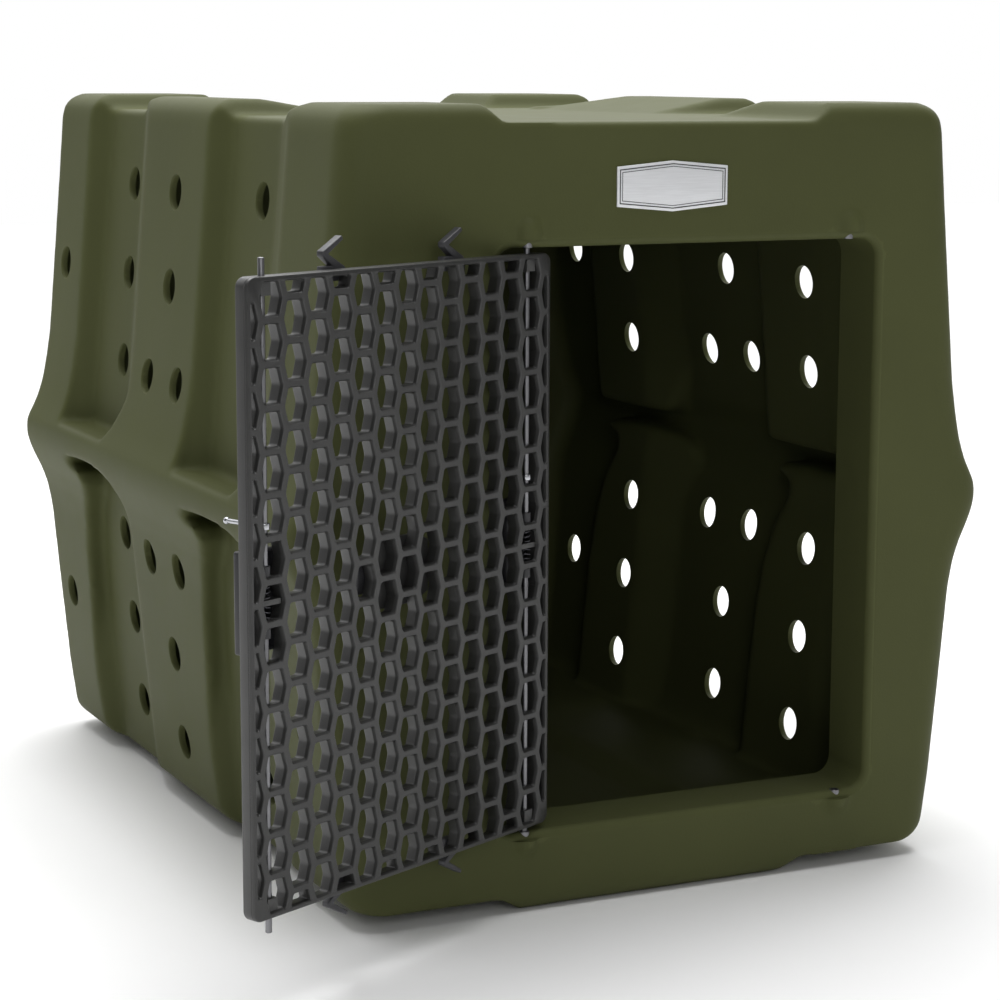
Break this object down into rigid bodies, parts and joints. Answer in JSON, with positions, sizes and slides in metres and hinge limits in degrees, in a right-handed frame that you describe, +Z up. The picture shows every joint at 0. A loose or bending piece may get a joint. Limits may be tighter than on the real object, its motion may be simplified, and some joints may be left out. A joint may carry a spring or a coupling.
{
  "type": "pet transport carrier",
  "caption": "Moulded stacking kennel for moving a dog, with vented ridged walls and a swing-open honeycomb door held by sprung steel rods.",
  "frame": {"origin": "on the ground, under the centre of the shell's footprint, on the underside of the centre skid", "axes": "+X to the viewer's right when facing the doorway, +Y from the doorway to the rear, +Z up; the door is stored swung open"},
  "size_m": [0.742, 0.9248, 0.66],
  "materials": {
    "shell_olive": "satin moulded, fine texture",
    "badge_silver": "satin",
    "badge_line": "satin",
    "zinc_steel": "satin",
    "door_grey": "satin moulded",
    "clip_grey": "satin moulded",
    "spring_steel": "satin",
    "bright_chrome": "bright",
    "black_plastic": "satin moulded"
  },
  "bodies": {
    "shell": {"body_shell": "shell_olive", "badge_plate": "badge_silver", "badge_border": "badge_line", "socket_hinge_top": "zinc_steel", "socket_hinge_bottom": "zinc_steel", "socket_latch_top": "zinc_steel", "socket_latch_bottom": "zinc_steel"},
    "door": {"door_outer_half": "door_grey", "door_inner_half": "door_grey", "clip_top_hinge": "clip_grey", "clip_top_latch": "clip_grey", "clip_bottom_hinge": "clip_grey", "clip_bottom_latch": "clip_grey", "centre_plate": "door_grey", "centre_lugs": "black_plastic", "latch_cover": "black_plastic", "hinge_cover": "black_plastic", "latch_cover_screws": "bright_chrome", "hinge_cover_screws": "bright_chrome", "spring_latch_upper": "spring_steel", "spring_latch_lower": "spring_steel", "spring_hinge_upper": "spring_steel", "spring_hinge_lower": "spring_steel"},
    "latch_upper_bolt": {"rod_latch_upper": "zinc_steel", "slide_latch_upper": "black_plastic", "knob_latch": "bright_chrome"},
    "latch_lower_bolt": {"rod_latch_lower": "zinc_steel", "slide_latch_lower": "black_plastic"},
    "hinge_upper_bolt": {"rod_hinge_upper": "zinc_steel", "slide_hinge_upper": "black_plastic", "knob_hinge": "bright_chrome"},
    "hinge_lower_bolt": {"rod_hinge_lower": "zinc_steel", "slide_hinge_lower": "black_plastic"}
  },
  "joints": [
    {"name": "door_hinge", "type": "hinge", "parent": "shell", "child": "door", "pos_m": [-0.1225, -0.387, 0.3075], "axis": [0, 0, 1], "range_deg": [0, 154.5]},
    {"name": "latch_upper_slide", "type": "slide", "parent": "door", "child": "latch_upper_bolt", "axis": [0, 0, -1], "range_m": [0, 0.0105], "stiffness_N_per_m": 350, "springref_m": -0.012, "deforming": ["spring_latch_upper"]},
    {"name": "latch_lower_slide", "type": "slide", "parent": "door", "child": "latch_lower_bolt", "axis": [0, 0, 1], "range_m": [0, 0.0105], "stiffness_N_per_m": 350, "springref_m": -0.012, "deforming": ["spring_latch_lower"]},
    {"name": "hinge_upper_slide", "type": "slide", "parent": "door", "child": "hinge_upper_bolt", "axis": [0, 0, -1], "range_m": [0, 0.0105], "stiffness_N_per_m": 350, "springref_m": -0.012, "deforming": ["spring_hinge_upper"]},
    {"name": "hinge_lower_slide", "type": "slide", "parent": "door", "child": "hinge_lower_bolt", "axis": [0, 0, 1], "range_m": [0, 0.0105], "stiffness_N_per_m": 350, "springref_m": -0.012, "deforming": ["spring_hinge_lower"]}
  ]
}
